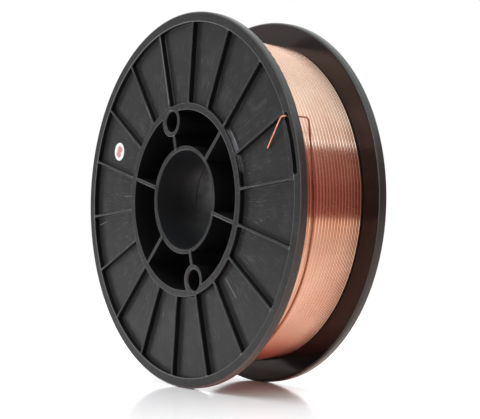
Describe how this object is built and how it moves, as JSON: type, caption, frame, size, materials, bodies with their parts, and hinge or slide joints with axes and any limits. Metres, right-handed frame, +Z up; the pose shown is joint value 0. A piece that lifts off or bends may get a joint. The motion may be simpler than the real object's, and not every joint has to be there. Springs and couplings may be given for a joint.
{
  "type": "welding wire spool",
  "caption": "Ribbed plastic reel with a hollow webbed hub and a slotted rim, wound full with thin copper-coated welding wire whose end is hooked through the rim.",
  "frame": {"origin": "centre of the bore, halfway across the width of the reel", "axes": "+Y along the bore, away from the slotted front flange; +Z up; the reel stands on its two rims with +X to the right of the front flange"},
  "size_m": [0.2, 0.0566, 0.2],
  "materials": {
    "reel_plastic": "moulded, satin, lightly scuffed",
    "coppered_wire": "copper-coated drawn steel, bright",
    "sticker_paper": "matt white paper"
  },
  "bodies": {
    "root": {"spool_half_front": "reel_plastic", "spool_half_back": "reel_plastic", "wire_coil": "coppered_wire", "wire_end": "coppered_wire", "inspection_sticker": "sticker_paper"}
  },
  "joints": []
}
